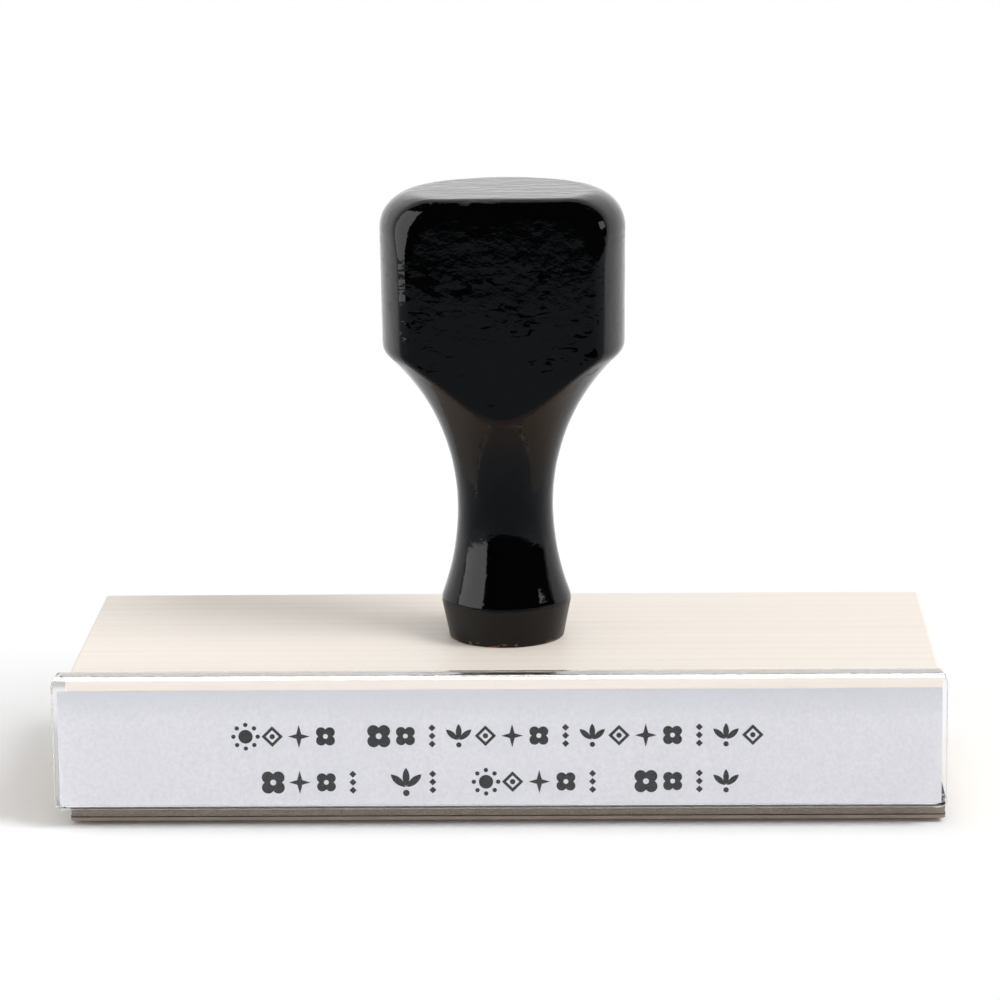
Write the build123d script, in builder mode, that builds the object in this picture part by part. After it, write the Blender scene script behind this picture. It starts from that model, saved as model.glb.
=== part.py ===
from build123d import *
import math
import os

# Long wooden-handled rubber stamp: turned handle, maple mount, clip-on clear index and cushioned rubber die.
# Row frame, in millimetres: the origin is on the handle's axis in the plane that meets the paper.
# +X runs along the stamp to the right, -Y is the front with the index, and +Z is up the handle.

# ---- driving dimensions -------------------------------------------------------------------------

# Maple mount.
mount_length = 140.0
mount_depth = 57.2
mount_thickness = 20.8
mount_edge_round = 0.5
kerf_width = 1.0
kerf_depth = 1.3
kerf_inset = 1.0  # from the front face to the kerf

# Clear index cover, an extruded channel that clips over the mount's front and slides along it.
cover_length = 143.0
cover_rest_shift = -0.7  # how far along X the cover is pushed at rest
cover_front_wall = 1.2
cover_lip_wall = 0.85
cover_top_radius = 2.2
cover_bottom_radius = 1.7
cover_corner_nip = 1.6  # the rounded corners of its ends, seen from the front
slide_clearance = 0.08
tongue_depth = 1.0

# Paper label behind the cover.
label_thickness = 0.25
label_top_margin = 1.7  # from the mount's top face
label_bottom_margin = 0.2  # from the mount's underside
label_end_margin = 0.8  # from each end of the cover
label_clearance = 0.15  # between the paper and the mount

# Cushion, its two adhesive films and the rubber die, all cut to one outline.
film_thickness = 0.12
cushion_thickness = 2.55
die_sheet_thickness = 0.55
relief_height = 0.8
stack_overhang = 0.6  # past each end of the mount, cut by hand
stack_shift = 0.35  # how far along X the stack sits off centre
stack_back_margin = 0.4  # in from the mount's back
stack_front_gap = 0.4  # behind the cover's lower lip
stack_corner_radius = 0.8

# Printing relief: two rows of ornaments, set out in cells.
cell_pitch = 6.1
row_spacing = 10.9
small_ornament = 5.6
large_ornament = 6.8
row_groups = [[4, 15], [4, 2, 5, 4]]  # ornaments in each group, one empty cell between groups

# Turned handle.
handle_height = 74.4
foot_radius = 9.45
foot_edge_break = 0.3
ridge_radius = 10.8
ridge_height = 6.7
ridge_round = 0.3
waist_radius = 7.9
waist_height = 22.2
knob_height = 26.0  # from the corner where the neck's cove ends to the top
knob_lower_radius = 19.85
knob_upper_radius = 20.1
knob_corner_round = 2.2
shoulder_radius = 6.0
flat_distance = 12.0  # from the handle's axis to the flat on the front of the knob
flat_edge_round = 1.2

# Dowel screw that joins the handle to the mount.
screw_core_radius = 1.7
thread_height = 0.75
thread_pitch = 2.4
thread_root_width = 1.3
thread_overlap = 0.15  # how far the thread's root is sunk in the core
screw_handle_length = 14.0
screw_mount_length = 12.0
screw_point_length = 2.5
screw_plain_length = 3.0  # unthreaded middle
pilot_clearance = 0.05
pilot_spare_depth = 1.0

# ---- heights and faces worked out from them -----------------------------------------------------

die_sheet_bottom = relief_height
die_film_bottom = die_sheet_bottom + die_sheet_thickness
cushion_bottom = die_film_bottom + film_thickness
cushion_film_bottom = cushion_bottom + cushion_thickness
mount_bottom = cushion_film_bottom + film_thickness
mount_top = mount_bottom + mount_thickness

mount_front = -mount_depth / 2
mount_back = mount_depth / 2
kerf_front = mount_front + kerf_inset
kerf_back = kerf_front + kerf_width

cover_inner_front = mount_front - label_thickness - label_clearance
cover_front = cover_inner_front - cover_front_wall
cover_inner_top = mount_top + slide_clearance
cover_inner_bottom = mount_bottom - slide_clearance
cover_top = cover_inner_top + cover_lip_wall
cover_bottom = cover_inner_bottom - cover_lip_wall
lip_back = kerf_back - slide_clearance
tongue_front = kerf_front + slide_clearance

stack_front = lip_back + stack_front_gap
stack_back = mount_back - stack_back_margin
stack_length = mount_length + 2 * stack_overhang
stack_depth = stack_back - stack_front
stack_middle = (stack_front + stack_back) / 2
pilot_radius = screw_core_radius + pilot_clearance


def sheet(bottom, thickness):
    """A flat sheet cut to the stack's outline, extruded up from its underside."""
    with BuildSketch(Plane.XY.offset(bottom)) as outline:
        with Locations((stack_shift, stack_middle)):
            RectangleRounded(stack_length, stack_depth, stack_corner_radius)
    extrude(outline.sketch, amount=thickness)


# ---- handle -------------------------------------------------------------------------------------


def cove_middle(radius, height):
    """A point half way up the cove that leaves the waist upright and ends at a radius and a height."""
    rise = height - waist_height
    reach = radius - waist_radius
    cove_radius = (rise**2 + reach**2) / (2 * reach)
    return (waist_radius + cove_radius - math.sqrt(cove_radius**2 - rise**2 / 4), waist_height + rise / 2)


def ring_at(height):
    """The edge round the handle that is nearest to a height."""
    rings = [edge for edge in handle.edges() if edge.is_closed]
    return min(rings, key=lambda edge: abs(edge.center().Z - height))


knob_base_height = handle_height - knob_height
shoulder_height = handle_height - shoulder_radius
shoulder_middle = shoulder_radius * math.sqrt(0.5)
shoulder_centre_radius = knob_upper_radius - shoulder_radius

with BuildPart() as handle:
    with BuildSketch(Plane.XZ):
        with BuildLine():
            Polyline((0, handle_height), (0, 0), (foot_radius, 0), (ridge_radius, ridge_height))
            ThreePointArc(
                (ridge_radius, ridge_height),
                cove_middle(ridge_radius, ridge_height),
                (waist_radius, waist_height),
            )
            ThreePointArc(
                (waist_radius, waist_height),
                cove_middle(knob_lower_radius, knob_base_height),
                (knob_lower_radius, knob_base_height),
            )
            Line((knob_lower_radius, knob_base_height), (knob_upper_radius, shoulder_height))
            ThreePointArc(
                (knob_upper_radius, shoulder_height),
                (shoulder_centre_radius + shoulder_middle, shoulder_height + shoulder_middle),
                (shoulder_centre_radius, handle_height),
            )
            Line((shoulder_centre_radius, handle_height), (0, handle_height))
        make_face()
    revolve(axis=Axis.Z)
    fillet(ring_at(knob_base_height), knob_corner_round)
    fillet(ring_at(ridge_height), ridge_round)
    chamfer(ring_at(0), foot_edge_break)
    # The knob's front is cut to a flat for the thumb.
    with BuildSketch(Plane.XZ.offset(flat_distance)):
        Rectangle(4 * knob_upper_radius, 3 * handle_height)
    extrude(amount=knob_upper_radius, mode=Mode.SUBTRACT)
    flat = handle.faces().filter_by(Axis.Y).filter_by(GeomType.PLANE)
    fillet(flat.edges(), flat_edge_round)
    with Locations(Plane.XY):
        Cylinder(
            pilot_radius,
            screw_handle_length + pilot_spare_depth,
            align=(Align.CENTER, Align.CENTER, Align.MIN),
            mode=Mode.SUBTRACT,
        )
handle.part = Pos(0, 0, mount_top) * handle.part
handle.part.label = "handle"

# ---- dowel screw --------------------------------------------------------------------------------


def screw_thread(start_height, length):
    """One right-hand thread up the core, as a ridge with a triangular section."""
    path = Helix(thread_pitch, length, screw_core_radius, center=(0, 0, start_height))
    with BuildSketch(Plane(origin=path @ 0, x_dir=(1, 0, 0), z_dir=path % 0)) as ridge:
        with BuildLine():
            Polyline(
                (-thread_overlap, -thread_root_width / 2),
                (thread_height, 0),
                (-thread_overlap, thread_root_width / 2),
                close=True,
            )
        make_face()
    sweep(sections=ridge.sketch, path=path, is_frenet=True)


with BuildPart() as handle_screw:
    with BuildSketch(Plane.XZ):
        with BuildLine():
            Polyline(
                (0, mount_top - screw_mount_length),
                (screw_core_radius, mount_top - screw_mount_length + screw_point_length),
                (screw_core_radius, mount_top + screw_handle_length - screw_point_length),
                (0, mount_top + screw_handle_length),
                close=True,
            )
        make_face()
    revolve(axis=Axis.Z)
    threaded_in_mount = screw_mount_length - screw_point_length - screw_plain_length / 2
    threaded_in_handle = screw_handle_length - screw_point_length - screw_plain_length / 2
    screw_thread(mount_top - screw_plain_length / 2 - threaded_in_mount, threaded_in_mount)
    screw_thread(mount_top + screw_plain_length / 2, threaded_in_handle)
handle_screw.part.label = "handle_screw"

# ---- mount block --------------------------------------------------------------------------------

with BuildPart() as mount_block:
    with BuildSketch(Plane.XY.offset(mount_bottom)):
        Rectangle(mount_length, mount_depth)
    extrude(amount=mount_thickness)
    # Eased edges round the top, apart from the front one, which the cover's lip covers.
    top_edges = mount_block.faces().sort_by(Axis.Z)[-1].edges().sort_by(Axis.Y)[1:]
    fillet(top_edges, mount_edge_round)
    # Saw kerfs for the cover's two tongues, in the top and in the underside.
    for face_height, into in ((mount_top, -1), (mount_bottom, 1)):
        with Locations((0, (kerf_front + kerf_back) / 2, face_height + into * kerf_depth / 2)):
            Box(mount_length, kerf_width, kerf_depth, mode=Mode.SUBTRACT)
    with Locations((0, 0, mount_top)):
        Cylinder(
            pilot_radius,
            screw_mount_length + pilot_spare_depth,
            align=(Align.CENTER, Align.CENTER, Align.MAX),
            mode=Mode.SUBTRACT,
        )
mount_block.part.label = "mount_block"

# ---- index cover and label ----------------------------------------------------------------------

with BuildPart() as index_cover:
    with BuildSketch(Plane.YZ.offset(cover_rest_shift)) as section:
        with BuildLine():
            Polyline(
                (lip_back, cover_inner_top - tongue_depth),
                (lip_back, cover_top),
                (cover_front, cover_top),
                (cover_front, cover_bottom),
                (lip_back, cover_bottom),
                (lip_back, cover_inner_bottom + tongue_depth),
                (tongue_front, cover_inner_bottom + tongue_depth),
                (tongue_front, cover_inner_bottom),
                (cover_inner_front, cover_inner_bottom),
                (cover_inner_front, cover_inner_top),
                (tongue_front, cover_inner_top),
                (tongue_front, cover_inner_top - tongue_depth),
                close=True,
            )
        make_face()
        front_corners = section.vertices().group_by(Axis.Y)[0].sort_by(Axis.Z)
        fillet(front_corners[0], cover_bottom_radius)
        fillet(front_corners[-1], cover_top_radius)
        inner_corners = section.vertices().sort_by(Axis.Y)
        inner_corners = [v for v in inner_corners if abs(v.Y - cover_inner_front) < slide_clearance / 2]
        fillet(inner_corners, slide_clearance)
        back_corners = section.vertices().group_by(Axis.Y)[-1].sort_by(Axis.Z)
        fillet([back_corners[0], back_corners[-1]], cover_lip_wall / 4)
    extrude(amount=cover_length / 2, both=True)
    # The ends' corners are rounded, seen from the front.
    cover_middle = (cover_top + cover_bottom) / 2
    with BuildSketch(Plane.XZ.offset(-lip_back)):
        with Locations((cover_rest_shift, cover_middle)):
            RectangleRounded(cover_length, cover_top - cover_bottom, cover_corner_nip)
    extrude(amount=lip_back - cover_front, mode=Mode.INTERSECT)
index_cover.part.label = "index_cover"

with BuildPart() as index_label:
    label_length = cover_length - 2 * label_end_margin
    label_height = mount_thickness - label_top_margin - label_bottom_margin
    label_middle = mount_top - label_top_margin - label_height / 2
    with BuildSketch(Plane.XZ.offset(-(cover_inner_front + label_thickness))):
        with Locations((cover_rest_shift, label_middle)):
            Rectangle(label_length, label_height)
    extrude(amount=label_thickness)
index_label.part.label = "index_label"

# ---- cushion and adhesive films -----------------------------------------------------------------

with BuildPart() as cushion_film:
    sheet(cushion_film_bottom, film_thickness)
cushion_film.part.label = "cushion_film"

with BuildPart() as cushion:
    sheet(cushion_bottom, cushion_thickness)
cushion.part.label = "cushion"

with BuildPart() as die_film:
    sheet(die_film_bottom, film_thickness)
die_film.part.label = "die_film"

# ---- rubber die ---------------------------------------------------------------------------------


def rosette(size):
    """Four round petals about a hole."""
    with BuildSketch(mode=Mode.PRIVATE) as motif:
        with PolarLocations(0.25 * size, 4, start_angle=45):
            Circle(0.21 * size)
        Circle(0.1 * size, mode=Mode.SUBTRACT)
    return motif.sketch


def star(size):
    """Four long points, drawn as two crossed lozenges."""
    with BuildSketch(mode=Mode.PRIVATE) as motif:
        for width, height in ((0.9, 0.26), (0.26, 1.0)):
            points = [(width / 2, 0), (0, height / 2), (-width / 2, 0), (0, -height / 2)]
            Polygon(*[(x * size, y * size) for x, y in points])
    return motif.sketch


def lozenge(size):
    """A lozenge outline about a dot."""
    with BuildSketch(mode=Mode.PRIVATE) as motif:
        Rectangle(0.62 * size, 0.62 * size, rotation=45)
        Rectangle(0.38 * size, 0.38 * size, rotation=45, mode=Mode.SUBTRACT)
        Circle(0.11 * size)
    return motif.sketch


def palmette(size):
    """Three leaves fanned out above a dot."""
    with BuildSketch(mode=Mode.PRIVATE) as motif:
        for angle in (-48, 0, 48):
            reach = 0.66 * size
            width = 0.24 * size
            bend = (reach**2 + width**2) / (4 * width)
            with BuildSketch(mode=Mode.PRIVATE) as leaf:
                with Locations((bend - width / 2, 0)):
                    Circle(bend)
                with Locations((width / 2 - bend, 0)):
                    Circle(bend, mode=Mode.INTERSECT)
            root = Pos(0, -0.2 * size) * Rot(0, 0, angle) * Pos(0, reach / 2 + 0.04 * size)
            add(root * leaf.sketch)
        with Locations((0, -0.38 * size)):
            Circle(0.11 * size)
    return motif.sketch


def sun(size):
    """A round boss in a ring of small dots."""
    with BuildSketch(mode=Mode.PRIVATE) as motif:
        Circle(0.24 * size)
        with PolarLocations(0.41 * size, 8):
            Circle(0.075 * size)
    return motif.sketch


def beads(size):
    """Three small lozenges, one above another."""
    with BuildSketch(mode=Mode.PRIVATE) as motif:
        with GridLocations(0, 0.34 * size, 1, 3):
            Rectangle(0.21 * size, 0.21 * size, rotation=45)
    return motif.sketch


large_motifs = [sun(large_ornament), rosette(large_ornament), palmette(large_ornament)]
small_motifs = [
    palmette(small_ornament),
    lozenge(small_ornament),
    star(small_ornament),
    rosette(small_ornament),
    beads(small_ornament),
]

with BuildPart() as rubber_die:
    sheet(die_sheet_bottom, die_sheet_thickness)
    with BuildSketch(Plane.XY.offset(die_sheet_bottom)):
        for row, groups in enumerate(row_groups):
            cells = sum(groups) + len(groups) - 1
            row_y = row_spacing * ((len(row_groups) - 1) / 2 - row)
            cell = 0
            for group, count in enumerate(groups):
                for place in range(count):
                    if place == 0:
                        motif = large_motifs[(row + group) % len(large_motifs)]
                    else:
                        motif = small_motifs[(place + 2 * group + row) % len(small_motifs)]
                    with Locations(((cell - (cells - 1) / 2) * cell_pitch, row_y)):
                        add(motif)
                    cell += 1
                cell += 1
    extrude(amount=-relief_height)
rubber_die.part.label = "rubber_die"

# ---- export -------------------------------------------------------------------------------------

pieces = [
    handle,
    handle_screw,
    mount_block,
    index_cover,
    index_label,
    cushion_film,
    cushion,
    die_film,
    rubber_die,
]
os.makedirs("parts", exist_ok=True)
for piece in pieces:
    export_step(piece.part, f"parts/{piece.part.label}.step")
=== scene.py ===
import math

import bmesh
import bpy
import numpy as np
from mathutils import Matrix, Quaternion, Vector, noise


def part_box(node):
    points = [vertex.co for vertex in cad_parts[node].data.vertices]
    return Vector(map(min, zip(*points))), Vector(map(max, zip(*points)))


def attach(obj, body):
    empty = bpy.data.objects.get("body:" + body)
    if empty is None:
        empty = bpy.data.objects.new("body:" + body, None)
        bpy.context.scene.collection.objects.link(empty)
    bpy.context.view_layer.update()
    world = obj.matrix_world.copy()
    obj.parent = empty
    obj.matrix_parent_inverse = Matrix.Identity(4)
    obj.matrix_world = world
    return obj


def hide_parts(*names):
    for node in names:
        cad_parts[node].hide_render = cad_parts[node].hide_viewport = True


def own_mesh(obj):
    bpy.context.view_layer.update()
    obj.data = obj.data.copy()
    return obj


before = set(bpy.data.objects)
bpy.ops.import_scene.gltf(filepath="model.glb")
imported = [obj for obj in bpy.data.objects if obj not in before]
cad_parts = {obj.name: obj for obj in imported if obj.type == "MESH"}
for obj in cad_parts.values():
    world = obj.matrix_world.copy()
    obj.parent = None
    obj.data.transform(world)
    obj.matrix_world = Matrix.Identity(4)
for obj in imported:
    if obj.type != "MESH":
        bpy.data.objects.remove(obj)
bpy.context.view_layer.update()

# A long hand stamp: lacquered handle, maple mount, clear index channel over a paper label,
# foam cushion and rubber die.
# Metres, but the handle's own sizes are in millimetres from its foot.
# +X is the stamp's right, -Y its front with the index, +Z up the handle.

mm = 0.001
print("stamp: frame loaded")


def addNode(tree, kind, inputs=None, **settings):
    # one shader node; an input is either a value or another node's output
    node = tree.nodes.new("ShaderNode" + kind)
    for name, value in settings.items():
        setattr(node, name, value)
    for socket, value in (inputs or {}).items():
        if isinstance(value, bpy.types.NodeSocket):
            tree.links.new(value, node.inputs[socket])
        else:
            node.inputs[socket].default_value = value
    return node


def newFinish(name, **sockets):
    # a material with its plain values set on the Principled shader
    material = bpy.data.materials.new(name)
    material.use_nodes = True
    tree = material.node_tree
    shader = tree.nodes["Principled BSDF"]
    for socket, value in sockets.items():
        shader.inputs[socket.replace("_", " ")].default_value = value
    return material, tree, shader


def millimetres(tree, stretch=(1, 1, 1)):
    # object coordinates in millimetres, so that a noise scale reads as features per millimetre
    coords = addNode(tree, "TexCoord").outputs["Object"]
    scale = [share / mm for share in stretch]
    return addNode(tree, "Mapping", {"Vector": coords, "Scale": scale}).outputs[0]


def ramp(tree, factor, *stops):
    # stops of (place, colour or grey)
    node = addNode(tree, "ValToRGB", {"Fac": factor})
    while len(node.color_ramp.elements) < len(stops):
        node.color_ramp.elements.new(0.5)
    for element, (place, colour) in zip(node.color_ramp.elements, stops):
        element.position = place
        element.color = (*colour, 1) if isinstance(colour, tuple) else (colour, colour, colour, 1)
    return node.outputs[0]


def remap(tree, value, start, end, low=0.0, high=1.0):
    # start to end become low to high, and nothing goes past those
    inputs = {"Value": value, "From Min": start, "From Max": end, "To Min": low, "To Max": high}
    return addNode(tree, "MapRange", inputs).outputs[0]


def speckle(tree, vector, scale, detail=2.0, roughness=0.5, distortion=0.0):
    inputs = {"Vector": vector, "Scale": scale, "Detail": detail, "Roughness": roughness}
    inputs["Distortion"] = distortion
    return addNode(tree, "TexNoise", inputs).outputs["Fac"]


def maths(tree, operation, first, second=0.0):
    return addNode(tree, "Math", {0: first, 1: second}, operation=operation).outputs[0]


def sawnEnd(tree, threshold):
    # 1 where the surface faces along the stamp, and 0 elsewhere
    normal = addNode(tree, "NewGeometry").outputs["True Normal"]
    facing = addNode(tree, "SeparateXYZ", {"Vector": normal}).outputs[0]
    return maths(tree, "GREATER_THAN", maths(tree, "ABSOLUTE", facing), threshold)


def mixColour(tree, factor, first, second):
    # on this node the factor is socket 0 and the two colours are sockets 6 and 7
    node = addNode(tree, "Mix", data_type="RGBA")
    for socket, value in ((0, factor), (6, first), (7, second)):
        if isinstance(value, bpy.types.NodeSocket):
            tree.links.new(value, node.inputs[socket])
        elif socket == 0:
            node.inputs[socket].default_value = value
        else:
            node.inputs[socket].default_value = (*value, 1)
    return node.outputs[2]


def layered(tree, *layers):
    # the normal under layers of (height, depth in metres), the last one on top
    normal = None
    for height, depth in layers:
        inputs = {"Height": height, "Distance": depth, "Strength": 1.0}
        if normal is not None:
            inputs["Normal"] = normal
        normal = addNode(tree, "Bump", inputs).outputs[0]
    return normal


def bumps(tree, shader, *layers):
    tree.links.new(layered(tree, *layers), shader.inputs["Normal"])


def newPiece(name, mesh, material, body, nodes=()):
    piece = bpy.data.objects.new(name, mesh)
    bpy.context.scene.collection.objects.link(piece)
    mesh.materials.append(material)
    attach(piece, body)
    if nodes:
        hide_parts(*nodes)
    return piece


def meshFrom(name, vertices, faces):
    mesh = bpy.data.meshes.new(name)
    mesh.from_pydata(vertices, [], faces)
    mesh.validate()
    tidy = bmesh.new()
    tidy.from_mesh(mesh)
    bmesh.ops.recalc_face_normals(tidy, faces=tidy.faces)
    tidy.to_mesh(mesh)
    tidy.free()
    for face in mesh.polygons:
        face.use_smooth = True
    return mesh


# ---- black lacquered handle

handleLow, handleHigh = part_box("handle")
handle = {
    "height": (handleHigh.z - handleLow.z) / mm,
    "footRadius": 9.45,
    "footRound": 0.3,
    "ridgeRadius": 10.8,
    "ridgeHeight": 6.7,
    "ridgeRound": 0.35,
    "waistRadius": 7.9,
    "waistHeight": 22.2,
    "knobHeight": 26.0,
    "knobLowerRadius": 19.85,
    "knobUpperRadius": handleHigh.x / mm,
    "knobCornerRound": 0.8,
    "shoulderRadius": 6.0,
    "flatDistance": -handleLow.y / mm,
    "flatEdgeRound": [(46.0, 0.3), (49.5, 1.0), (65.0, 1.1), (71.5, 2.9)],  # at heights from the foot
    "roundReach": 6.0,  # how far from the knob's and the ridge's edge its round is worked out
    "footReach": 3.0,
    "footCentre": 2.5,  # the foot and the top are each drawn by rays fanned out from one point
    "crownDepth": 9.0,
    "footFan": (88, 70, 50, 32, 22, 17.5, 16, 15.2, 14.6, 14, 13.2, 11, 7, 3.5),  # degrees down
    "around": 320,  # vertices round each ring
    "waviness": 0.05,  # how far hand sanding and thick lacquer leave it from true
    "ripples": (5.5, 2.2),  # long and short
    "steadyRadius": 4.0,  # nearer the axis than this, points move less
}


def meet(first, second, roundness):
    # the space inside both surfaces, with a rounded edge where they cross
    hollow = np.hypot(np.maximum(first + roundness, 0), np.maximum(second + roundness, 0))
    return np.minimum(-roundness, np.maximum(first, second)) + hollow


def handleDistance(x, y, z, h=handle):
    # signed distance to the handle's surface in millimetres, z from its foot
    r = np.hypot(x, y)
    top = h["height"]
    base = top - h["knobHeight"]
    side = r - np.interp(z, [base, top], [h["knobLowerRadius"], h["knobUpperRadius"]])

    def cove(endRadius, endHeight):
        rise = endHeight - h["waistHeight"]
        reach = endRadius - h["waistRadius"]
        coveRadius = (rise**2 + reach**2) / (2 * reach)
        return coveRadius - np.hypot(r - h["waistRadius"] - coveRadius, z - h["waistHeight"])

    upperCove = cove(h["knobLowerRadius"], base)
    lowerCove = cove(h["ridgeRadius"], h["ridgeHeight"])
    neck = np.where(z > h["waistHeight"], upperCove, lowerCove)
    flare = math.atan2(h["ridgeRadius"] - h["footRadius"], h["ridgeHeight"])
    band = (r - h["footRadius"]) * math.cos(flare) - z * math.sin(flare)
    knob = meet(side, z - top, h["shoulderRadius"])
    nearKnob, nearRidge = z > base - h["roundReach"], z < h["ridgeHeight"] + h["roundReach"]
    turned = np.where(nearKnob, meet(knob, upperCove, h["knobCornerRound"]), neck)
    turned = np.where(nearRidge, meet(neck, band, h["ridgeRound"]), turned)
    turned = np.where(z < h["footReach"], meet(turned, -z, h["footRound"]), turned)
    heights, rounds = zip(*h["flatEdgeRound"])
    return meet(turned, -y - h["flatDistance"], np.interp(z, heights, rounds))


def castToSurface(origins, directions):
    # how far each ray goes before it leaves the handle, found by halving
    near = np.zeros(len(origins))
    far = np.full(len(origins), 60.0)
    for halving in range(34):
        middle = (near + far) / 2
        inside = handleDistance(*(origins + directions * middle[:, None]).T) < 0
        near = np.where(inside, middle, near)
        far = np.where(inside, far, middle)
    return near


def makeHandle(h=handle):
    crown = h["height"] - h["crownDepth"]
    # rings lie closest together where an edge is rounded
    levels = np.concatenate(
        [
            np.linspace(h["footCentre"], 6.0, 5),
            np.linspace(6.25, 7.4, 6),
            np.linspace(8.2, 44.0, 42),
            np.linspace(44.6, 52.0, 16),
            np.linspace(52.9, crown, 14),
        ]
    )
    crownFan = np.concatenate([np.linspace(2, 46, 38), np.linspace(48, 88, 16)])
    rings = [(h["footCentre"], -lift) for lift in h["footFan"]]
    rings += [(z, 0.0) for z in levels]
    rings += [(crown, lift) for lift in crownFan]
    angles = np.linspace(0, 2 * math.pi, h["around"], endpoint=False)
    origins, directions = [], []
    for z, lift in rings:
        level, rise = math.cos(math.radians(lift)), math.sin(math.radians(lift))
        for angle in angles:
            origins.append((0, 0, z))
            directions.append((math.cos(angle) * level, math.sin(angle) * level, rise))
    origins, directions = np.array(origins), np.array(directions)
    points = origins + directions * castToSurface(origins, directions)[:, None]
    poles = [(0, 0, 0), (0, 0, h["height"])]
    longRipple, shortRipple = h["ripples"]
    vertices = []
    for point in [*points, *poles]:
        x, y, z = (float(v) for v in point)
        spot = Vector((x, y, z))
        ripple = noise.noise(spot / longRipple) + 0.4 * noise.noise(spot / shortRipple)
        inset = h["waviness"] * (0.5 + 0.5 * min(max(ripple, -1), 1))
        level = min(z, h["height"] - inset)
        shrink = 1 - inset / max(math.hypot(x, y), h["steadyRadius"])
        vertices.append((x * shrink * mm, y * shrink * mm, handleLow.z + level * mm))
    n, last = h["around"], len(rings) - 1
    faces = []
    for ring in range(last):
        for k in range(n):
            a, b = ring * n + k, ring * n + (k + 1) % n
            faces.append((a, b, b + n, a + n))
    foot, peak = len(vertices) - 2, len(vertices) - 1
    for k in range(n):
        faces.append((foot, (k + 1) % n, k))
        faces.append((peak, last * n + k, last * n + (k + 1) % n))
    return meshFrom("blackHandle", vertices, faces)


lacquer = {
    "colour": (0.0008, 0.0009, 0.0011),
    "paintedWoodReflection": (0.0075, 0.0028, 0.0003),  # painted reflection: the brown of the maple top that the flares under the knob mirror
    "woodReflectionHeights": ((0.30, 0.0), (0.375, 1.0), (0.45, 1.0), (0.485, 0.0)),  # (share of 100 mm, how brown)
    "footColour": (0.0060, 0.0036, 0.0024),
    "footDark": (0.0022, 0.0015, 0.0011),
    "footDull": 0.26,
    "bareWood": (0.32, 0.14, 0.07),
    "chipHeights": (0.25, 0.8),
    "peelDepth": 0.000045,
    "lumpDepth": 0.00014,
    "pitHeights": (34, 56),  # none below, most above
    "pitTilt": 0.24,  # how far a bridged pore tips the gloss upwards
}


def makeLacquer(c=lacquer):
    material, tree, shader = newFinish("blackLacquer", IOR=1.31, Roughness=0.05)
    point = millimetres(tree)
    place = addNode(tree, "SeparateXYZ", {"Vector": point})
    height = maths(tree, "SUBTRACT", place.outputs[2], handleLow.z / mm)
    ridge, top = handle["ridgeHeight"], handle["height"]
    band = remap(tree, height, ridge - 0.5, ridge - 0.1, 1.0, 0.0)
    dust = speckle(tree, point, 1.6, 4.0, 0.6)
    footTone = mixColour(tree, dust, c["footDark"], c["footColour"])
    # painted reflection of the maple top on the flares under the knob, kept off the flat
    flare = ramp(tree, maths(tree, "MULTIPLY", height, 0.01), *c["woodReflectionHeights"])
    flatFace = handleLow.y / mm + 0.15
    offFlat = maths(tree, "GREATER_THAN", place.outputs[1], flatFace)
    tone = mixColour(tree, maths(tree, "MULTIPLY", flare, offFlat), c["colour"], c["paintedWoodReflection"])
    tone = mixColour(tree, band, tone, footTone)
    # chips along the foot's lower edge show the wood
    edge = remap(tree, height, *c["chipHeights"], 1.0, 0.0)
    chipNoise = ramp(tree, speckle(tree, point, 0.9, 3.0, 0.6), (0.56, 0.0), (0.6, 1.0))
    chips = maths(tree, "MULTIPLY", edge, chipNoise)
    tone = mixColour(tree, chips, tone, c["bareWood"])
    tree.links.new(tone, shader.inputs["Base Color"])
    smudge = speckle(tree, point, 0.12, 3.0)
    gloss = remap(tree, smudge, 0.0, 1.0, 0.03, 0.09)
    dull = maths(tree, "MULTIPLY", band, c["footDull"])
    rough = maths(tree, "ADD", maths(tree, "ADD", gloss, dull), maths(tree, "MULTIPLY", chips, 0.5))
    tree.links.new(rough, shader.inputs["Roughness"])
    # orange peel over everything, and thick lumps on the top
    peel = speckle(tree, point, 0.5, 3.0, 0.55)
    onTop = remap(tree, height, top - 0.8, top - 0.2)
    lumps = speckle(tree, millimetres(tree, (0.35, 1.0, 0.5)), 0.55, 4.0, 0.6, 0.5)
    lumpy = maths(tree, "MULTIPLY", lumps, onTop)
    peeled = layered(tree, (lumpy, c["lumpDepth"]), (peel, c["peelDepth"]))
    # pores that the lacquer has bridged are short dashes across the knob, closest together near its top
    pores = speckle(tree, millimetres(tree, (0.5, 0.5, 1.4)), 0.62, 2.5, 0.55, 1.0)
    crowd = speckle(tree, millimetres(tree, (0.7, 0.7, 1.0)), 0.16, 2.0)
    where = remap(tree, height, *c["pitHeights"], -0.13, 0.05)
    reach = maths(tree, "ADD", maths(tree, "MULTIPLY", crowd, 0.42), where)
    pits = remap(tree, maths(tree, "ADD", pores, reach), 0.865, 0.895)
    tilt = addNode(tree, "CombineXYZ", {"Z": maths(tree, "MULTIPLY", pits, c["pitTilt"])}).outputs[0]
    tipped = addNode(tree, "VectorMath", {0: peeled, 1: tilt}, operation="ADD").outputs[0]
    normal = addNode(tree, "VectorMath", {0: tipped}, operation="NORMALIZE").outputs[0]
    tree.links.new(normal, shader.inputs["Normal"])
    return material


newPiece("blackHandle", makeHandle(), makeLacquer(), "mount", ["handle"])
print("stamp: handle turned and lacquered")

# ---- maple mount

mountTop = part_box("mount_block")[1].z
maple = {
    "pale": (0.93, 0.86, 0.785),
    "palest": (0.95, 0.885, 0.815),
    "line": (0.80, 0.70, 0.60),
    "fleck": (0.62, 0.50, 0.39),
    "endGrain": (0.70, 0.57, 0.44),
    "endRing": (0.5, 0.37, 0.26),
    "endPore": (0.76, 0.64, 0.51),
    "grainDepth": 0.02 * mm,
    "poreDepth": 0.01 * mm,
}


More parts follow.
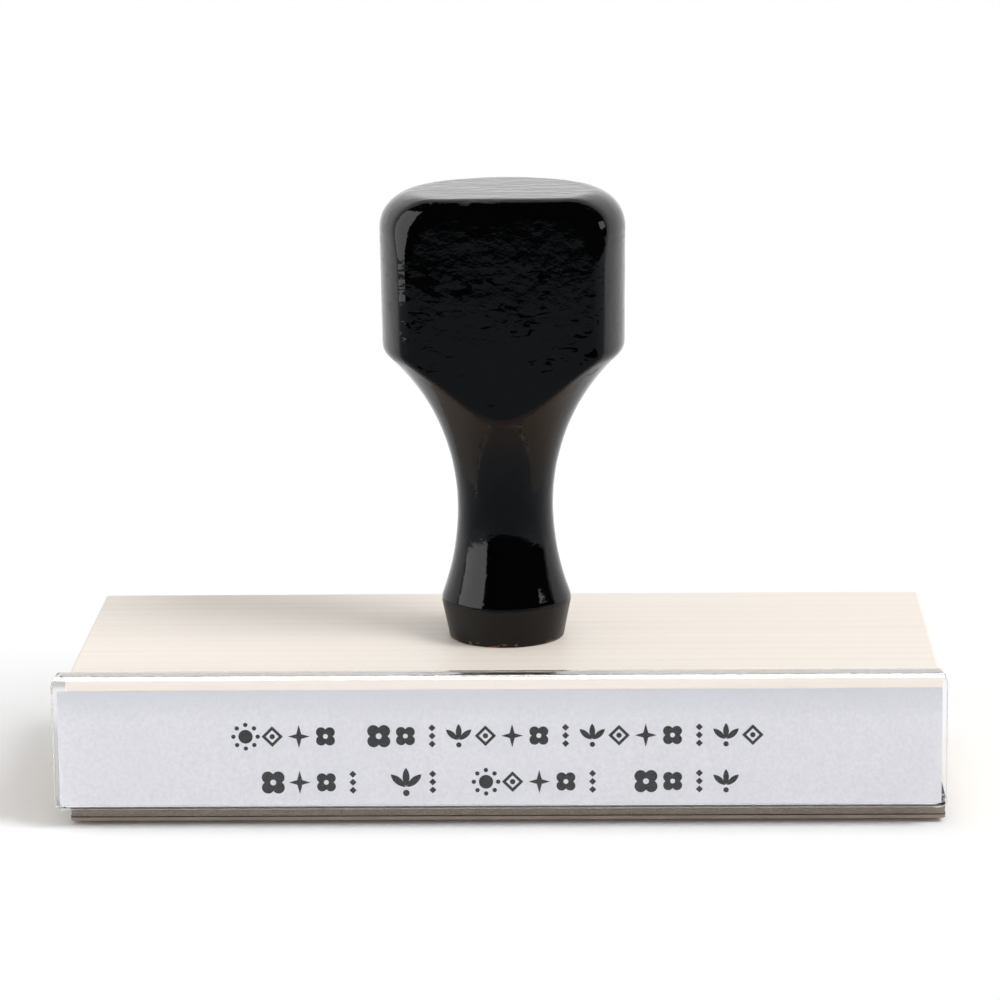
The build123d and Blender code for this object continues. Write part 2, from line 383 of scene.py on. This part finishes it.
def makeMaple(c=maple):
    material, tree, shader = newFinish("sandedMaple", IOR=1.45)
    # growth rings run along X and curve slightly
    bend = speckle(tree, millimetres(tree, (0.012, 0.25, 0.25)), 0.35, 2.0)
    stretched = millimetres(tree, (0.006, 1.0, 1.0))
    rings = addNode(
        tree,
        "TexWave",
        {
            "Vector": stretched,
            "Scale": 0.085,
            "Distortion": 7.0,
            "Detail": 3.0,
            "Detail Scale": 0.3,
            "Detail Roughness": 0.6,
        },
        wave_type="BANDS",
        bands_direction="Y",
        wave_profile="SAW",
    ).outputs["Fac"]
    fibre = speckle(tree, millimetres(tree, (0.02, 1.0, 1.0)), 1.6, 4.0, 0.65)
    drawn = speckle(tree, millimetres(tree, (0.008, 1.0, 1.0)), 0.9, 3.0, 0.6)
    threads = ramp(tree, drawn, (0.5, 0.0), (0.72, 1.0))
    spots = speckle(tree, millimetres(tree, (0.3, 1.0, 1.0)), 1.5, 2.0, 0.5)
    flecks = ramp(tree, spots, (0.73, 0.0), (0.80, 1.0))
    lines = ramp(tree, rings, (0.0, 0.30), (0.12, 0.05), (0.8, 0.0), (1.0, 0.35))
    tone = mixColour(tree, lines, c["pale"], c["line"])
    tone = mixColour(tree, maths(tree, "MULTIPLY", threads, 0.30), tone, c["line"])
    tone = mixColour(tree, maths(tree, "MULTIPLY", fibre, 0.22), tone, c["line"])
    tone = mixColour(tree, maths(tree, "MULTIPLY", flecks, 0.35), tone, c["fleck"])
    tone = mixColour(tree, ramp(tree, bend, (0.35, 0.0), (0.75, 0.5)), tone, c["palest"])
    # sawn ends are darker and show pores
    endPores = speckle(tree, millimetres(tree), 3.0, 3.0, 0.7)
    endRings = mixColour(tree, lines, c["endGrain"], c["endRing"])
    endTone = mixColour(tree, ramp(tree, endPores, (0.45, 0.0), (0.6, 1.0)), endRings, c["endPore"])
    tree.links.new(mixColour(tree, sawnEnd(tree, 0.8), tone, endTone), shader.inputs["Base Color"])
    tree.links.new(remap(tree, fibre, 0.0, 1.0, 0.42, 0.62), shader.inputs["Roughness"])
    bumps(tree, shader, (fibre, c["grainDepth"]), (endPores, c["poreDepth"]))
    return material


def dress(node, material):
    # a CAD node keeps its mesh and takes a better finish
    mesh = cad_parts[node].data
    mesh.materials.clear()
    mesh.materials.append(material)


dress("mount_block", makeMaple())
print("stamp: mount sanded")

# ---- dowel screw

zinc = {"dull": (0.52, 0.53, 0.56), "bright": (0.75, 0.75, 0.72), "grainDepth": 0.008 * mm}


def makeZinc(c=zinc):
    material, tree, shader = newFinish("zincPlatedSteel", Metallic=1.0, IOR=2.5)
    point = millimetres(tree)
    plating = speckle(tree, point, 2.4, 4.0, 0.6)
    tree.links.new(mixColour(tree, plating, c["dull"], c["bright"]), shader.inputs["Base Color"])
    tree.links.new(remap(tree, plating, 0.0, 1.0, 0.22, 0.42), shader.inputs["Roughness"])
    bumps(tree, shader, (speckle(tree, point, 6.0, 2.0), c["grainDepth"]))
    return material


dress("handle_screw", makeZinc())

# ---- clear index channel

coverLow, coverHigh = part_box("index_cover")
channel = {
    "frontWall": 1.2 * mm,
    "lipWall": 0.85 * mm,
    "topRadius": 2.2 * mm,
    "bottomRadius": 1.7 * mm,
    "innerRadius": 0.6 * mm,
    "backRadius": 0.3 * mm,
    "tongueDepth": 1.0 * mm,
    "tongueWidth": 0.84 * mm,
    "cornerNip": 1.6 * mm,
    "stations": 90,
    "wave": 0.014 * mm,  # how far the extrusion wanders from straight
    "waveFrom": 1.0 * mm,  # all of it in front of this depth, and none behind the next
    "waveTo": 2.0 * mm,
    "tint": (0.985, 0.99, 1.0, 1),
    "lineDepth": 0.002 * mm,
}


def cornerArc(corner, inwards, radius, steps):
    # points round a right-angled corner; inwards holds the signs of Y and Z towards the arc's
    # centre, and whether the arc starts on the upright leg
    (cy, cz), (sy, sz, uprightFirst) = corner, inwards
    centre = (cy + sy * radius, cz + sz * radius)
    points = []
    for k in range(steps + 1):
        angle = math.pi / 2 * k / steps
        along, up = math.cos(angle), math.sin(angle)
        if not uprightFirst:
            along, up = up, along
        points.append((centre[0] - sy * radius * along, centre[1] - sz * radius * up))
    return points


def channelSection(c=channel):
    # the section in Y and Z, from the upper tongue's tip over the top and down the front
    front, back, low, high = coverLow.y, coverHigh.y, coverLow.z, coverHigh.z
    inner = front + c["frontWall"]
    innerLow, innerHigh = low + c["lipWall"], high - c["lipWall"]
    tongueFront = back - c["tongueWidth"]
    points = [(back, innerHigh - c["tongueDepth"])]
    points += cornerArc((back, high), (-1, -1, True), c["backRadius"], 3)
    points += cornerArc((front, high), (1, -1, False), c["topRadius"], 12)
    points += cornerArc((front, low), (1, 1, True), c["bottomRadius"], 10)
    points += cornerArc((back, low), (-1, 1, False), c["backRadius"], 3)
    points += [(back, innerLow + c["tongueDepth"]), (tongueFront, innerLow + c["tongueDepth"])]
    points += [(tongueFront, innerLow)]
    points += cornerArc((inner, innerLow), (1, 1, False), c["innerRadius"], 5)
    points += cornerArc((inner, innerHigh), (1, -1, True), c["innerRadius"], 5)
    points += [(tongueFront, innerHigh), (tongueFront, innerHigh - c["tongueDepth"])]
    return points


def makeChannel(c=channel):
    section = channelSection()
    middleX = (coverLow.x + coverHigh.x) / 2
    middleZ = (coverLow.z + coverHigh.z) / 2
    halfLength, halfHeight = (coverHigh.x - coverLow.x) / 2, (coverHigh.z - coverLow.z) / 2
    vertices = []
    for station in range(c["stations"] + 1):
        along = 2 * station / c["stations"] - 1
        for y, z in section:
            overNip = max(abs(z - middleZ) - (halfHeight - c["cornerNip"]), 0) / c["cornerNip"]
            reach = halfLength - c["cornerNip"] * (1 - math.sqrt(max(1 - overNip**2, 0)))
            x = middleX + along * reach
            depth = y - coverLow.y
            inFront = max(0, min(1, (c["waveTo"] - depth) / (c["waveTo"] - c["waveFrom"])))
            wander = c["wave"] * (0.5 + 0.5 * noise.noise(Vector((x * 34, z * 20, 3.1))))
            vertices.append((x, y + wander * inFront, z))
    n = len(section)
    faces = [tuple(range(n)), tuple(reversed(range(c["stations"] * n, (c["stations"] + 1) * n)))]
    for station in range(c["stations"]):
        for k in range(n):
            a, b = station * n + k, station * n + (k + 1) % n
            faces.append((a, b, b + n, a + n))
    mesh = meshFrom("clearChannel", vertices, faces)
    mesh.set_sharp_from_angle(angle=math.radians(32))
    return mesh


def makeClearPlastic(c=channel):
    material, tree, shader = newFinish(
        "clearExtrudedPlastic", IOR=1.49, Transmission_Weight=1.0, Base_Color=c["tint"]
    )
    # fine die lines run along it, and its sawn ends are frosted
    dieLines = speckle(tree, millimetres(tree, (0.004, 1.0, 1.0)), 1.1, 3.0, 0.6)
    frost = maths(tree, "MULTIPLY", sawnEnd(tree, 0.55), 0.7)
    rubbed = speckle(tree, millimetres(tree, (0.3, 1, 1)), 0.8, 4.0, 0.7)
    scuffs = ramp(tree, rubbed, (0.6, 0.0), (0.8, 0.05))
    rough = maths(tree, "ADD", frost, maths(tree, "ADD", scuffs, 0.015))
    tree.links.new(rough, shader.inputs["Roughness"])
    bumps(tree, shader, (dieLines, c["lineDepth"]))
    return material


clearChannel = newPiece(
    "clearChannel", makeChannel(), makeClearPlastic(), "index", ["index_cover"]
)
clearChannel.visible_shadow = False  # lamps reach the label behind it
print("stamp: index channel extruded")

# ---- paper label and its print

labelLow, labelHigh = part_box("index_label")
label = {
    "gap": 0.05 * mm,  # behind the channel's window
    "thickness": 0.16 * mm,
    "curl": 0.03 * mm,
    "columns": 110,
    "rows": 14,
    "paper": (0.77, 0.76, 0.785),
    "fibre": (0.68, 0.675, 0.71),
    "cloud": (0.70, 0.695, 0.735),
    # tone and reach of the painted shade under the channel's top lip
    "paintedShade": (0.60, 0.60, 0.64),
    "paintedShadeWidth": 5.0,  # millimetres down from its top edge
    "fibreDepth": 0.008 * mm,
}


def labelFront(x, z, c=label):
    # how far forward the paper's face lies at a place
    curl = 0.5 + 0.5 * noise.noise(Vector((x * 45, z * 60, 8.0)))
    return labelLow.y + c["gap"] + c["curl"] * curl


def makeLabel(c=label):
    vertices, faces = [], []
    columns, rows = c["columns"], c["rows"]
    for side in (0, 1):
        for i in range(columns + 1):
            for j in range(rows + 1):
                x = labelLow.x + (labelHigh.x - labelLow.x) * i / columns
                z = labelLow.z + (labelHigh.z - labelLow.z) * j / rows
                vertices.append((x, labelFront(x, z) + side * c["thickness"], z))
    count = (columns + 1) * (rows + 1)

    def at(i, j, side):
        return side * count + i * (rows + 1) + j

    for i in range(columns):
        for j in range(rows):
            faces.append((at(i, j, 0), at(i + 1, j, 0), at(i + 1, j + 1, 0), at(i, j + 1, 0)))
            faces.append((at(i, j, 1), at(i, j + 1, 1), at(i + 1, j + 1, 1), at(i + 1, j, 1)))
    for i in range(columns):
        for j in (0, rows):
            faces.append((at(i, j, 0), at(i + 1, j, 0), at(i + 1, j, 1), at(i, j, 1)))
    for j in range(rows):
        for i in (0, columns):
            faces.append((at(i, j, 0), at(i, j + 1, 0), at(i, j + 1, 1), at(i, j, 1)))
    mesh = meshFrom("paperLabel", vertices, faces)
    mesh.set_sharp_from_angle(angle=math.radians(40))
    return mesh


def makePaper(c=label):
    material, tree, shader = newFinish("labelPaper", IOR=1.4, Roughness=0.7)
    point = millimetres(tree)
    fibres = ramp(tree, speckle(tree, point, 1.6, 5.0, 0.7), (0.36, 0.0), (0.64, 1.0))
    clouds = speckle(tree, point, 0.12, 2.0)
    tone = mixColour(tree, fibres, c["fibre"], c["paper"])
    tone = mixColour(tree, ramp(tree, clouds, (0.3, 0.0), (0.7, 0.35)), tone, c["cloud"])
    # painted shade: darker towards its top edge, where the channel's top lip shades it
    level = addNode(tree, "SeparateXYZ", {"Vector": point}).outputs[2]
    top = labelHigh.z / mm
    paintedShade = remap(tree, level, top - c["paintedShadeWidth"], top, 0.0, 0.75)
    tone = mixColour(tree, paintedShade, tone, c["paintedShade"])
    tree.links.new(tone, shader.inputs["Base Color"])
    bumps(tree, shader, (fibres, c["fibreDepth"]))
    return material


newPiece("paperLabel", makeLabel(), makePaper(), "index", ["index_label"])

labelPrint = {
    "scale": 0.70,  # of the die's own size
    "middleX": -0.7 * mm,
    "middleZ": labelHigh.z - 11.4 * mm,
    "proud": 0.012 * mm,  # in front of the paper
    "black": (0.0005, 0.0005, 0.0006),
    "worn": (0.004, 0.004, 0.0045),
}


def makePrint(c=labelPrint):
    # the label shows what the die prints, so its ornaments are the die's own faces
    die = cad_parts["rubber_die"].data
    microns = 1e6  # in a metre; corners that agree to one micron are the same corner
    build = bmesh.new()
    lowest = min(v.co.z for v in die.vertices)
    place = {}
    for face in die.polygons:
        corners = [die.vertices[i].co for i in face.vertices]
        if max(co.z for co in corners) > lowest + 1 / microns:
            continue
        ring = []
        for co in corners:
            key = (round(co.x * microns), round(co.y * microns))
            if key not in place:
                x = c["middleX"] + co.x * c["scale"]
                z = c["middleZ"] + co.y * c["scale"]
                place[key] = build.verts.new((x, labelFront(x, z) - c["proud"], z))
            ring.append(place[key])
        if len(set(ring)) == len(ring):
            build.faces.new(ring)
    bmesh.ops.recalc_face_normals(build, faces=build.faces)
    mesh = bpy.data.meshes.new("labelOrnaments")
    build.to_mesh(mesh)
    build.free()
    if mesh.polygons and mesh.polygons[0].normal.y > 0:
        mesh.flip_normals()
    return mesh


def makeInk(c=labelPrint):
    material, tree, shader = newFinish("blackPrint", IOR=1.45, Specular_IOR_Level=0.1)
    toner = speckle(tree, millimetres(tree), 5.0, 3.0, 0.6)
    tree.links.new(mixColour(tree, toner, c["black"], c["worn"]), shader.inputs["Base Color"])
    tree.links.new(remap(tree, toner, 0.0, 1.0, 0.4, 0.6), shader.inputs["Roughness"])
    return material


labelOrnaments = newPiece("labelOrnaments", makePrint(), makeInk(), "index")
print("stamp: label printed with", len(labelOrnaments.data.polygons), "faces of ornament")

# ---- foam cushion

foamLow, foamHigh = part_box("cushion")
foam = {
    "rows": 7,
    "pitch": 0.9 * mm,
    "bulge": 0.10 * mm,
    "ragged": 0.07 * mm,
    "cornerRadius": 0.8 * mm,
    "cornerSteps": 4,
    "cell": (0.13, 0.105, 0.085),
    "skin": (0.29, 0.245, 0.21),
    "pale": (0.33, 0.28, 0.24),
    # tone of the painted shade under the channel's lower lip
    "lipShade": (0.045, 0.030, 0.022),
    "cellDepth": 0.12 * mm,
}


def slabOutline(low, high, radius, pitch, steps):
    # a rounded rectangle in X and Y, with points about a pitch apart, as (x, y, outward x, outward y)
    points = []
    corners = [
        (high.x - radius, high.y - radius, 0),
        (low.x + radius, high.y - radius, 90),
        (low.x + radius, low.y + radius, 180),
        (high.x - radius, low.y + radius, 270),
    ]
    for k, (cx, cy, start) in enumerate(corners):
        for step in range(steps + 1):
            angle = math.radians(start + 90 * step / steps)
            across, up = math.cos(angle), math.sin(angle)
            points.append((cx + radius * across, cy + radius * up, across, up))
        nx, ny, nextStart = corners[(k + 1) % 4]
        angle = math.radians(nextStart)
        across, up = math.cos(angle), math.sin(angle)
        here, there = Vector(points[-1][:2]), Vector((nx + radius * across, ny + radius * up))
        count = max(2, round((there - here).length / pitch))
        for step in range(1, count):
            spot = here.lerp(there, step / count)
            points.append((spot.x, spot.y, across, up))
    return points


def makeFoam(c=foam):
    outline = slabOutline(foamLow, foamHigh, c["cornerRadius"], c["pitch"], c["cornerSteps"])
    n, rows = len(outline), c["rows"]
    vertices, faces = [], []
    for row in range(rows + 1):
        share = row / rows
        z = foamLow.z + (foamHigh.z - foamLow.z) * share
        for x, y, across, up in outline:
            swell = c["bulge"] * (math.sin(math.pi * share) - 1)
            spot = Vector((x * 700, y * 700, z * 1500))
            out = swell + c["ragged"] * (noise.noise(spot) - 0.6)
            vertices.append((x + across * out, y + up * out, z))
    for row in range(rows):
        for k in range(n):
            a, b = row * n + k, row * n + (k + 1) % n
            faces.append((a, b, b + n, a + n))
    faces.append(tuple(reversed(range(n))))
    faces.append(tuple(range(rows * n, (rows + 1) * n)))
    mesh = meshFrom("foamCushion", vertices, faces)
    mesh.set_sharp_from_angle(angle=math.radians(50))
    return mesh


def makeFoamFinish(c=foam):
    material, tree, shader = newFinish("greyFoam", IOR=1.4, Roughness=0.9)
    point = millimetres(tree)
    cells = addNode(tree, "TexVoronoi", {"Vector": point, "Scale": 4.5}).outputs["Distance"]
    mottle = speckle(tree, point, 0.7, 3.0, 0.6)
    tone = mixColour(tree, cells, c["cell"], c["skin"])
    tone = mixColour(tree, maths(tree, "MULTIPLY", mottle, 0.5), tone, c["pale"])
    # painted shade: darker towards the mount, where the channel's lower lip shades it
    level = addNode(tree, "SeparateXYZ", {"Vector": point}).outputs[2]
    middle = (foamLow.z + foamHigh.z) / 2 / mm
    lipShade = remap(tree, level, middle - 0.3, middle + 0.5, 0.0, 0.8)
    tone = mixColour(tree, lipShade, tone, c["lipShade"])
    tree.links.new(tone, shader.inputs["Base Color"])
    bumps(tree, shader, (cells, c["cellDepth"]))
    return material


foamCushion = newPiece("foamCushion", makeFoam(), makeFoamFinish(), "mount", ["cushion"])
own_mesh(foamCushion)
print("stamp: foam cut")

# ---- adhesive films and rubber die

adhesive = {"dark": (0.010, 0.006, 0.004), "dusty": (0.040, 0.026, 0.018), "dirtDepth": 0.02 * mm}


def makeFilm(c=adhesive):
    material, tree, shader = newFinish("adhesiveFilm", IOR=1.45)
    point = millimetres(tree)
    dirt = speckle(tree, point, 1.3, 4.0, 0.65)
    tree.links.new(mixColour(tree, dirt, c["dark"], c["dusty"]), shader.inputs["Base Color"])
    tree.links.new(remap(tree, dirt, 0.0, 1.0, 0.35, 0.7), shader.inputs["Roughness"])
    bumps(tree, shader, (dirt, c["dirtDepth"]))
    return material


film = makeFilm()
dress("cushion_film", film)
dress("die_film", film)


dieRubber = {
    "dark": (0.19, 0.15, 0.12),
    "pale": (0.27, 0.215, 0.175),
    "bloom": (0.31, 0.25, 0.21),
    "grainDepth": 0.015 * mm,
}


def makeDieRubber(c=dieRubber):
    material, tree, shader = newFinish("dieRubber", IOR=1.5)
    point = millimetres(tree)
    grain = speckle(tree, point, 4.0, 4.0, 0.6)
    clouds = speckle(tree, point, 0.15, 3.0)
    tone = mixColour(tree, grain, c["dark"], c["pale"])
    tone = mixColour(tree, ramp(tree, clouds, (0.35, 0.0), (0.7, 0.5)), tone, c["bloom"])
    tree.links.new(tone, shader.inputs["Base Color"])
    tree.links.new(remap(tree, grain, 0.0, 1.0, 0.55, 0.75), shader.inputs["Roughness"])
    bumps(tree, shader, (grain, c["grainDepth"]))
    return material


dress("rubber_die", makeDieRubber())
print("stamp: films and die dressed")

# ---- table, cards and lights

studio = {
    "table": (0.995, 0.995, 0.995),
    "sky": 0.58,
    "sunStrength": 1.72,
    "sunDirection": (-0.62, 0.30, -0.72),
    "sunSpread": 28,  # degrees across
    "frontStrength": 0.50,
    "frontDirection": (-0.05, 0.93, -0.36),
    "frontSpread": 60,
    "nearGlow": (0.37, 0.41, 0.46),  # what the lacquer shows of the table in front, beside and behind
    "farGlow": (1.15, 1.15, 1.15),
    "tableEdge": (-0.60, -0.50),  # where the table in front fades out
    "tableSize": 8.0,
    "tableDrop": -0.02 * mm,  # below the stamping plane, and what shows in gloss a little lower
    "glossDrop": -0.1 * mm,
    "glossSize": 1.2,
    "softboxDistance": 0.6,
    "softboxStrength": 3.6,
}


def addCard(name, corners, colour, strength):
    # a flat card that only shows in the gloss of what stands before it
    mesh = bpy.data.meshes.new(name)
    mesh.from_pydata(corners, [], [(0, 1, 2, 3)])
    material = bpy.data.materials.new(name)
    material.use_nodes = True
    tree = material.node_tree
    tree.nodes.clear()
    glow = addNode(tree, "Emission", {"Color": (*colour, 1), "Strength": strength})
    output = addNode(tree, "OutputMaterial")
    tree.links.new(glow.outputs[0], output.inputs[0])
    mesh.materials.append(material)
    card = bpy.data.objects.new(name, mesh)
    bpy.context.scene.collection.objects.link(card)
    card.visible_camera = False
    card.visible_diffuse = False
    card.visible_shadow = False
    card.visible_transmission = False
    return tree, glow


def addTable(c=studio):
    mesh = bpy.data.meshes.new("whiteTable")
    size = c["tableSize"]
    corners = [(-size, -size, 0), (size, -size, 0), (size, size, 0), (-size, size, 0)]
    mesh.from_pydata(corners, [], [(0, 1, 2, 3)])
    mesh.materials.append(newFinish("whiteTable", Roughness=0.9, Base_Color=(*c["table"], 1))[0])
    table = bpy.data.objects.new("whiteTable", mesh)
    bpy.context.scene.collection.objects.link(table)
    table.location.z = c["tableDrop"]
    table.visible_glossy = False
    # another card shows in the gloss instead, darker in front than behind
    near, side, low = c["tableEdge"][0], c["glossSize"], c["glossDrop"]
    corners = [(-side, near, low), (side, near, low), (side, side, low), (-side, side, low)]
    tree, glow = addCard("tableInGloss", corners, (1, 1, 1), 1.0)
    place = addNode(tree, "SeparateXYZ", {"Vector": addNode(tree, "TexCoord").outputs["Object"]})
    x, y = place.outputs[0], place.outputs[1]
    behind = remap(tree, y, -0.12, 0.20)
    beside = remap(tree, maths(tree, "ABSOLUTE", x), 0.12, 0.6, 0.0, 0.45)
    tone = mixColour(tree, maths(tree, "MAXIMUM", behind, beside), c["nearGlow"], c["farGlow"])
    tree.links.new(tone, glow.inputs["Color"])
    tree.links.new(remap(tree, y, *c["tableEdge"]), glow.inputs["Strength"])


def addSoftbox(name, azimuth, elevation, c=studio):
    # an upright card facing the stamp; angles in degrees round from the front, and up
    distance = c["softboxDistance"]
    corners = []
    for turn, lift in ((0, 0), (1, 0), (1, 1), (0, 1)):
        angle = math.radians(azimuth[turn])
        z = distance * math.tan(math.radians(elevation[lift]))
        corners.append((distance * math.sin(angle), -distance * math.cos(angle), z))
    addCard(name, corners, (1, 1, 1), c["softboxStrength"])


def addSun(name, direction, strength, spread):
    data = bpy.data.lights.new(name, "SUN")
    data.energy = strength
    data.angle = math.radians(spread)
    sun = bpy.data.objects.new(name, data)
    bpy.context.scene.collection.objects.link(sun)
    sun.rotation_euler = Vector(direction).to_track_quat("-Z", "Y").to_euler()
    sun.visible_glossy = False


def addSky(c=studio):
    # white where the camera looks and soft light on the stamp; its gloss sees white behind and
    # dark in front
    world = bpy.data.worlds.new("whiteStudio")
    bpy.context.scene.world = world
    world.use_nodes = True
    tree = world.node_tree
    tree.nodes.clear()
    path = addNode(tree, "LightPath")
    direction = addNode(tree, "TexCoord").outputs["Generated"]
    behind = addNode(tree, "SeparateXYZ", {"Vector": direction}).outputs[1]
    backdrop = remap(tree, behind, 0.02, 0.20, 0.0, 1.2)
    # inside clear plastic the gloss sees the same soft light as everything else
    outside = maths(tree, "LESS_THAN", path.outputs["Transmission Depth"], 0.5)
    glossy = maths(tree, "MULTIPLY", path.outputs["Is Glossy Ray"], outside)
    gloss = maths(tree, "MULTIPLY", glossy, backdrop)
    notGloss = maths(tree, "SUBTRACT", 1.0, glossy)
    lit = maths(tree, "ADD", gloss, maths(tree, "MULTIPLY", notGloss, c["sky"]))
    strength = maths(tree, "MAXIMUM", lit, path.outputs["Is Camera Ray"])
    sky = addNode(tree, "Background", {"Color": (1, 1, 1, 1), "Strength": strength})
    output = addNode(tree, "OutputWorld")
    tree.links.new(sky.outputs[0], output.inputs[0])


addTable()
addSky()
addSun("softSun", studio["sunDirection"], studio["sunStrength"], studio["sunSpread"])
addSun("frontFill", studio["frontDirection"], studio["frontStrength"], studio["frontSpread"])
addSoftbox("leftSoftbox", azimuth=(-94, -42), elevation=(2, 48))
addSoftbox("rightSoftbox", azimuth=(66, 88), elevation=(19, 30))

channelLight = {"length": 1.6, "width": 0.50, "brightness": 14.0, "place": (0, -0.10, 0.7)}


def addChannelLight(c=channelLight):
    # an overhead softbox whose long reflection runs along the channel's top corner alone
    data = bpy.data.lights.new("channelLight", "AREA")
    data.shape = "RECTANGLE"
    data.size, data.size_y = c["length"], c["width"]
    data.energy = c["brightness"] * math.pi * data.size * data.size_y
    data.cycles.max_bounces = 0  # no bounce, so it doesn't wash out the label
    lamp = bpy.data.objects.new("channelLight", data)
    bpy.context.scene.collection.objects.link(lamp)
    lamp.location = c["place"]
    lamp.visible_camera = False
    lamp.visible_diffuse = False
    lamp.visible_transmission = False
    only = bpy.data.collections.new("channelOnly")
    only.objects.link(clearChannel)
    lamp.light_linking.receiver_collection = only


addChannelLight()

# ---- camera

view = {
    "azimuth": 1.63,
    "elevation": 12.5,
    "roll": 0.67,
    "distance": 0.706,
    "lens": 154.1,
    "aim": (-0.9 * mm, 0.0, mountTop + 22.8 * mm),
}


def addCamera(c=view):
    turn, lift = math.radians(c["azimuth"]), math.radians(c["elevation"])
    level = math.cos(lift)
    towards = Vector((math.sin(turn) * level, -math.cos(turn) * level, math.sin(lift)))
    data = bpy.data.cameras.new("stampCamera")
    data.lens = c["lens"]
    data.clip_start, data.clip_end = 0.01, 50
    camera = bpy.data.objects.new("stampCamera", data)
    bpy.context.scene.collection.objects.link(camera)
    camera.location = Vector(c["aim"]) + towards * c["distance"]
    roll = Quaternion((0, 0, 1), -math.radians(c["roll"]))
    camera.rotation_mode = "QUATERNION"
    camera.rotation_quaternion = towards.to_track_quat("Z", "Y") @ roll
    bpy.context.scene.camera = camera


addCamera()
bpy.context.scene.view_settings.view_transform = "Standard"
print("stamp: lit and framed")
